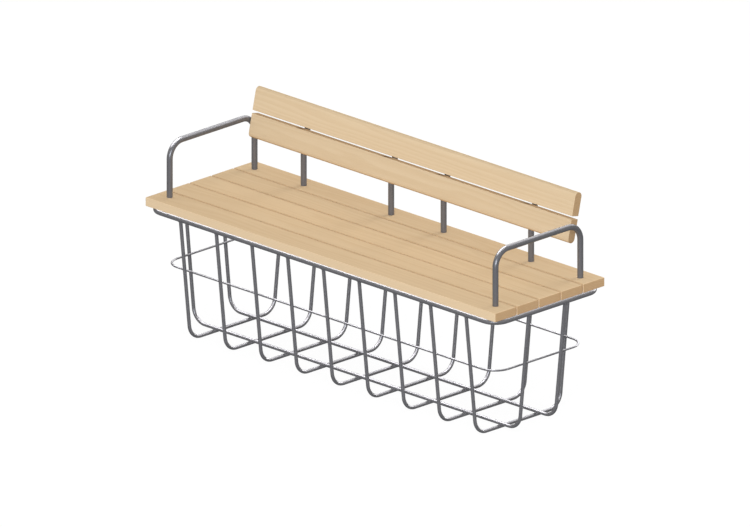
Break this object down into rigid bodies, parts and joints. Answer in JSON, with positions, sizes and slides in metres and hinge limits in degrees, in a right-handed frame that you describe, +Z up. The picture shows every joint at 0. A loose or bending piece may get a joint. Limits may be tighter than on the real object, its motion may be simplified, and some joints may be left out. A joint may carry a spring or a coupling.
{
  "type": "gabion bench",
  "caption": "Park bench with a slatted timber seat and back, bent-tube armrests and an open cage base of bent round bars that can be filled with stones.",
  "frame": {"origin": "on the ground, midway along the bench and midway between the front and rear edges of the seat", "axes": "+X along the seat to the right of someone facing the bench's front, +Y to the back, +Z up"},
  "size_m": [1.6, 0.5, 0.7568],
  "materials": {
    "timber": "planed pale softwood, clear matt oil",
    "frame_steel": "satin grey steel",
    "fastener_steel": "zinc plated"
  },
  "bodies": {
    "root": {"seat_slat_1": "timber", "seat_slat_2": "timber", "seat_slat_3": "timber", "seat_slat_4": "timber", "seat_slat_5": "timber", "back_board_lower": "timber", "back_board_upper": "timber", "seat_ring": "frame_steel", "cage_hoop_1": "frame_steel", "cage_hoop_2": "frame_steel", "cage_hoop_3": "frame_steel", "cage_hoop_4": "frame_steel", "cage_hoop_5": "frame_steel", "cage_hoop_6": "frame_steel", "cage_hoop_7": "frame_steel", "cage_hoop_8": "frame_steel", "cage_hoop_9": "frame_steel", "cage_runner_front": "frame_steel", "cage_runner_rear": "frame_steel", "cage_belt": "frame_steel", "left_armrest": "frame_steel", "right_armrest": "frame_steel", "left_back_hoop": "frame_steel", "right_back_hoop": "frame_steel", "cross_bearer_1": "frame_steel", "cross_bearer_2": "frame_steel", "cross_bearer_3": "frame_steel", "cross_bearer_4": "frame_steel", "cross_bearer_5": "frame_steel", "cross_bearer_6": "frame_steel", "leg_plate_1": "frame_steel", "leg_plate_2": "frame_steel", "leg_plate_3": "frame_steel", "leg_plate_4": "frame_steel", "rail_plate_1": "frame_steel", "rail_plate_2": "frame_steel", "rail_plate_3": "frame_steel", "rail_plate_4": "frame_steel", "leg_plugs": "fastener_steel", "leg_washers": "fastener_steel", "leg_bolts": "fastener_steel", "slat_screws": "fastener_steel", "board_screws": "fastener_steel"}
  },
  "joints": []
}
